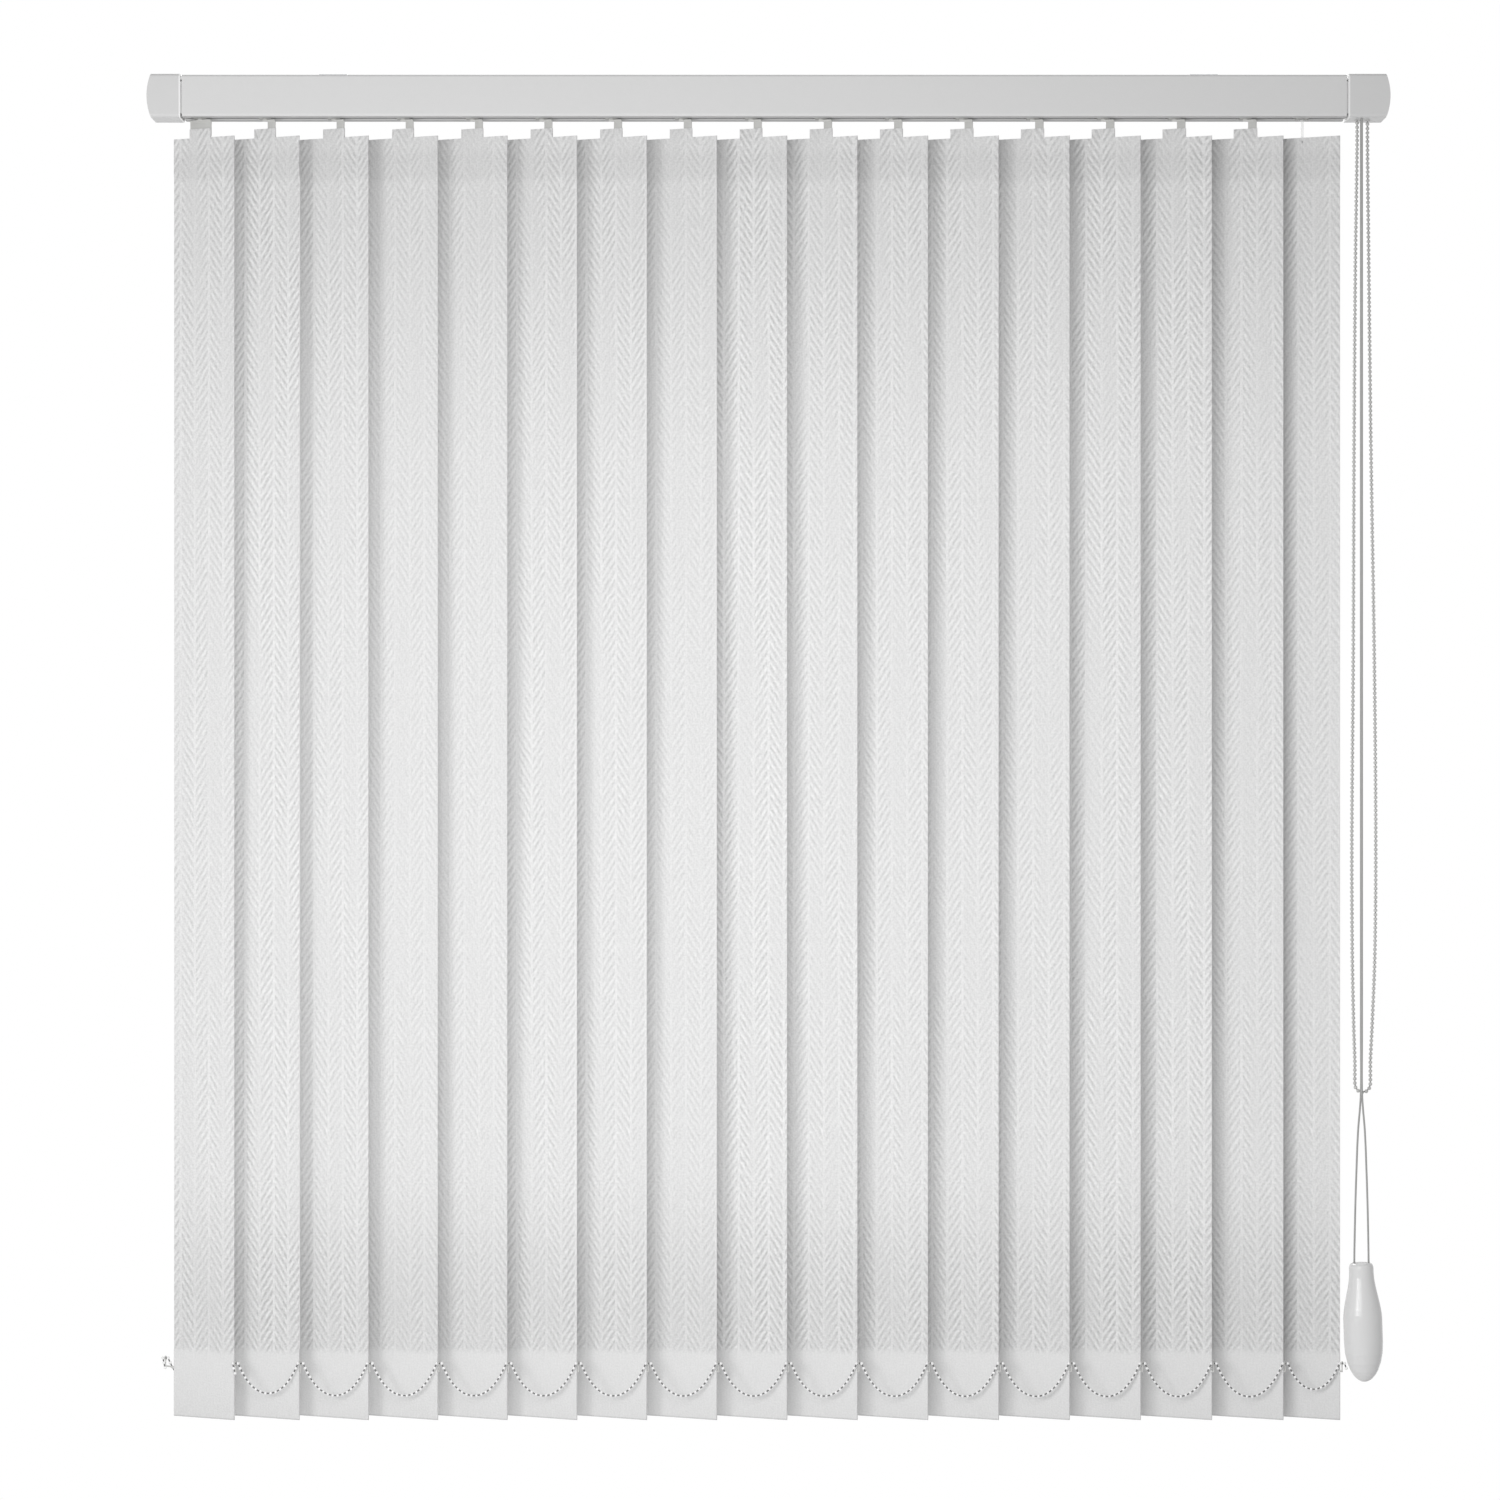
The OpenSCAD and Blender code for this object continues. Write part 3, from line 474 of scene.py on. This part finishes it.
for name, side in (("front_chain", 1), ("rear_chain", -1)):
    start = Vector((side * post.x, side * post.y, post_z))
    tail = [Vector((0.0048, 0, -0.0056)), Vector((bead_pitch / 2, 0, 0))]
    long_tail = [Vector((0.0006, 0, -0.0112)), Vector((0.0020, 0, -0.0056)), tail[-1]]
    beads = [start + Vector((axes[vanes[0]] - t.x, 0, t.z)) for t in long_tail]
    for left, right in zip(vanes, vanes[1:]):
        span = axes[right] - axes[left]
        half = span / 2 - bead_pitch / 2
        bend = half / droop
        reach = bend * math.sinh(droop)
        count = round(2 * reach / bead_pitch)
        for i in range(count + 1):
            t = bend * math.asinh((-reach + 2 * reach * i / count) / bend)
            sag = bend * (math.cosh(t / bend) - math.cosh(droop))
            beads.append(start + Vector((axes[left] + span / 2 + t, 0, sag)))
    beads += [start + Vector((axes[vanes[-1]] + t.x, 0, t.z)) for t in tail[::-1]]
    bm = bmesh.new()
    bead_string(bm, beads, beads, bead_r, thread_r)
    made = piece(bm, name + "_beads", chain_plastic, name, chain_thread)
    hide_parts(name)
    chain_len = sum((b - a).length for a, b in zip(beads, beads[1:]))
    fixed_end = (axes[vanes[-1]] + side * post.x, side * post.y, post_z)
    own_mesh(made)

# The tilt chain is a loop of larger white beads on a thread. It runs round the chain wheel in the right
# cap and hangs in a long free loop beside the last vane.

wheel_low, wheel_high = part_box("chain_wheel")
wheel_x, wheel_z = (wheel_low[0] + wheel_high[0]) / 2, (wheel_low[2] + wheel_high[2]) / 2
wheel_r, tilt_bead_r, tilt_pitch, loop_drop = 0.006, 0.00225, 0.005, 1.110
drop = [(-6, 0.027), (-8, 0.153), (-9.5, 0.342), (-10.5, 0.568), (-12, 0.748), (-11.5, 0.865),
        (-10, 0.937), (-8.6, 0.977)]
climb = [(9.4, 0.977), (11.5, 0.937), (14.5, 0.865), (15.5, 0.748), (14, 0.568), (10, 0.342),
         (7.5, 0.153), (6, 0.027)]


def round_turn(degrees):
    return Vector((math.cos(math.radians(degrees)), 0, math.sin(math.radians(degrees))))


def on_wheel(degrees):
    return Vector((wheel_x, 0, wheel_z)) + wheel_r * round_turn(degrees)


def below(x, share, lift=0.0):
    return Vector((wheel_x + x / 1000, 0, rail_low - share * loop_drop + lift))


route = [on_wheel(a) for a in (94, 115, 137, 158, 180)] + [below(*p) for p in drop]
lowest = [round_turn(a) for a in range(190, 351, 20)]
route += [below(0.4 + 9 * turn.x, 1.0, 0.010 * turn.z) for turn in lowest]
route += [below(*p) for p in climb] + [on_wheel(a) for a in (0, 22, 43, 65, 86)]


def smooth_route(points, step):
    """Points a step apart along a smooth curve through the given ones."""
    dense = []
    for i in range(len(points) - 1):
        p0, p1 = points[max(i - 1, 0)], points[i]
        p2, p3 = points[i + 1], points[min(i + 2, len(points) - 1)]
        span = (p2 - p1).length
        m1 = (p2 - p0) * (span / max((p2 - p1).length + (p1 - p0).length, 1e-9))
        m2 = (p3 - p1) * (span / max((p3 - p2).length + (p2 - p1).length, 1e-9))
        count = max(2, int(span / 0.0015))
        for k in range(count):
            t = k / count
            dense.append((2 * t**3 - 3 * t**2 + 1) * p1 + (t**3 - 2 * t**2 + t) * m1
                         + (3 * t**2 - 2 * t**3) * p2 + (t**3 - t**2) * m2)
    dense.append(points[-1])
    spaced, carried = [dense[0]], 0.0
    for a, b in zip(dense, dense[1:]):
        run = (b - a).length
        while carried + run >= step:
            a = a + (b - a) * ((step - carried) / run)
            spaced.append(a)
            run, carried = (b - a).length, 0.0
        carried += run
    return spaced


beads = smooth_route(route, tilt_pitch)
bm = bmesh.new()
bead_string(bm, beads, beads, tilt_bead_r, 0.0007)
tilt_plastic = moulded("tilt_bead_plastic", (0.57, 0.57, 0.56), (0.66, 0.66, 0.65), 0.32, 2500.0,
                       Specular_IOR_Level=0.5)
# The tilt chain's thread takes the same dark grey, painted shadow between its beads.
made = piece(bm, "tilt_chain_beads", tilt_plastic, "headrail", chain_thread)
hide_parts("tilt_chain")

# The draw cord is a smooth braid of white polyester. Its two strands come down over the pulleys
# in the right cap, and the weight hangs in the bight between them.

cord_r, turn_r, lean = 0.0011, 0.006, math.radians(1.75)
low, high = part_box("cord_pulley_rear")
turn_x, rear_y, turn_z = (low[0] + high[0]) / 2, (low[1] + high[1]) / 2, (low[2] + high[2]) / 2
low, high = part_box("cord_pulley_front")
front_y = (low[1] + high[1]) / 2
cord_x, mid_y = turn_x + turn_r, (rear_y + front_y) / 2
weight_drop, weight_r = 1.315, 0.0083
weight_x, weight_top = wheel_x - 0.003, rail_low - weight_drop
hub_drop = 0.015
hub = Vector((weight_x + hub_drop * math.sin(lean), mid_y, weight_top - hub_drop * math.cos(lean)))
hung = [(0, 0, 0.008), (0, 0, 0.27), (0, 0, 0.57), (0, 0, 0.8), (0.2, 0.1, 0.853), (3.6, 0.4, 0.886),
        (5.6, 0.7, 0.92), (7.2, 0.9, 0.958)]


def strand(y, side):
    """One strand, from the top of its pulley down to the weight."""
    points = [Vector((turn_x, y, turn_z)) + turn_r * round_turn(a) for a in (90, 60, 30, 0)]
    for out, inward, share in hung:
        across = cord_x + side * out / 1000
        points.append(Vector((across, y + inward * (mid_y - y), rail_low - share * weight_drop)))
    return points


bight = [hub + weight_r * round_turn(a) for a in range(180, 361, 30)]
line_of_cord = smooth_route(strand(rear_y, -1) + bight + strand(front_y, 1)[::-1], 0.004)
braid, shader, s = new_finish("braided_cord", Specular_IOR_Level=0.3)
spot = s.node("ShaderNodeUVMap", {"uv_map": "UVMap"})
run = s.node("ShaderNodeSeparateXYZ", None, {0: spot})
around = run.twin(1)
lay_one = (run * 900.0 + around * 3.0).wave()
lay_two = (run * 900.0 - around * 3.0).wave()
plait = s.sum("MAXIMUM", lay_one, lay_two)
# Painted shade: the braid is coloured mid-grey, standing in for the shading on the thin white cord.
plait.tint((0.30, 0.30, 0.295), (0.46, 0.46, 0.455)).feeds(shader, "Base Color")
(0.75 - plait * 0.1).feeds(shader, "Roughness")
relief(s, plait, shader, 0.4, 0.0003)


def tube(name, points, radius, finish, body):
    curve = bpy.data.curves.new(name, "CURVE")
    curve.dimensions, curve.bevel_depth, curve.bevel_resolution = "3D", radius, 3
    spline = curve.splines.new("POLY")
    spline.points.add(len(points) - 1)
    for at, p in zip(spline.points, points):
        at.co = (*p, 1.0)
    curve.use_fill_caps = True
    shape = bpy.data.objects.new(name + "_line", curve)
    bpy.context.collection.objects.link(shape)
    bpy.context.view_layer.update()
    seen_shape = shape.evaluated_get(bpy.context.evaluated_depsgraph_get())
    mesh = bpy.data.meshes.new_from_object(seen_shape)
    bpy.data.objects.remove(shape)
    bpy.data.curves.remove(curve)
    mesh.materials.clear()
    mesh.materials.append(finish)
    mesh.shade_smooth()
    made = bpy.data.objects.new(name, mesh)
    bpy.context.collection.objects.link(made)
    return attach(made, body)


made = tube("draw_cord_braid", line_of_cord, cord_r, braid, "headrail")
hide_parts("draw_cord")
cord_len = sum((b - a).length for a, b in zip(line_of_cord, line_of_cord[1:]))
dress(["rail_cord"], moulded("cord_in_rail", (0.66, 0.66, 0.65), (0.82, 0.82, 0.81), 0.75, 2500.0))

# The cord weight is moulded in white plastic with a polished skin, in the shape of a drop.
# A small pulley sits in the slot in its top, and the cord runs round it.

weight_gloss = moulded("weight_gloss_plastic", (0.75, 0.75, 0.75), (0.80, 0.80, 0.80), 0.20, 2200.0,
                       Specular_IOR_Level=0.45)
dress(["cord_weight"], weight_gloss)

# A white studio: a pale floor under the blind, soft lights in front and at the left, and one for the rear.
# The camera stands at the middle of the photograph, square to the rail.


def background_rays(s):
    """1 on the rays that show the background: to the camera, off gloss and through glass."""
    light = s.node("ShaderNodeLightPath")
    gloss, through = light.twin("Is Glossy Ray"), light.twin("Is Transmission Ray")
    return s.sum("MAXIMUM", s.sum("MAXIMUM", light, gloss), through)


floor_half, floor_mid = (2.2, 1.1, 1.0), (0.0, -0.6, -1.80)
bm = bmesh.new()
bmesh.ops.create_grid(bm, x_segments=1, y_segments=1, size=1.0)
bmesh.ops.scale(bm, vec=floor_half, verts=bm.verts)
bmesh.ops.translate(bm, vec=floor_mid, verts=bm.verts)
mesh = bpy.data.meshes.new("floor")
bm.to_mesh(mesh)
bm.free()
ground, shader, s = new_finish("pale_floor", Roughness=0.9, Emission_Strength=1.0)
background_rays(s).tint((0.0, 0.0, 0.0), (0.26, 0.26, 0.26)).feeds(shader, "Emission Color")
s.noise(place_on(s), 3.0).tint((0.80, 0.80, 0.80), (0.84, 0.84, 0.84)).feeds(shader, "Base Color")
mesh.materials.append(ground)
floor = bpy.data.objects.new("floor", mesh)
bpy.context.collection.objects.link(floor)

box_size = (1.0, 1.0)
softboxes = (("left_softbox", (-1.8, -2.6, -0.80), (0.0, 0.0, -0.80), 21.5),
             ("front_softbox", (-0.2, -1.7, -0.80), (-0.2, 0.0, -0.80), 11.8),
             ("rear_softbox", (0.5, 2.4, 0.60), (0.0, 0.0, -0.80), 15.0))
for name, place, aim, power in softboxes:
    lamp = bpy.data.lights.new(name, "AREA")
    lamp.shape, lamp.size, lamp.size_y, lamp.energy = "RECTANGLE", *box_size, power
    lit = bpy.data.objects.new(name, lamp)
    lit.location = place
    lit.rotation_euler = (Vector(aim) - Vector(place)).to_track_quat("-Z", "Y").to_euler()
    lit.visible_camera = False
    bpy.context.collection.objects.link(lit)

world = bpy.data.worlds.new("white_studio")
bpy.context.scene.world = world
world.use_nodes = True
s = Shade(world.node_tree)
(background_rays(s) * 0.57 + 0.43).feeds(world.node_tree.nodes["Background"], "Strength")
world.node_tree.nodes["Background"].inputs["Color"].default_value = (1.0, 1.0, 1.0, 1.0)

camera = bpy.data.cameras.new("camera")
camera.lens, camera.sensor_width = 93.83, 36.0
eye = bpy.data.objects.new("camera", camera)
eye.location = (-0.0212, -4.5, -0.776)
eye.rotation_euler = (math.radians(90), 0, 0)
bpy.context.collection.objects.link(eye)
scene = bpy.context.scene
scene.camera = eye
scene.view_settings.view_transform = "Standard"
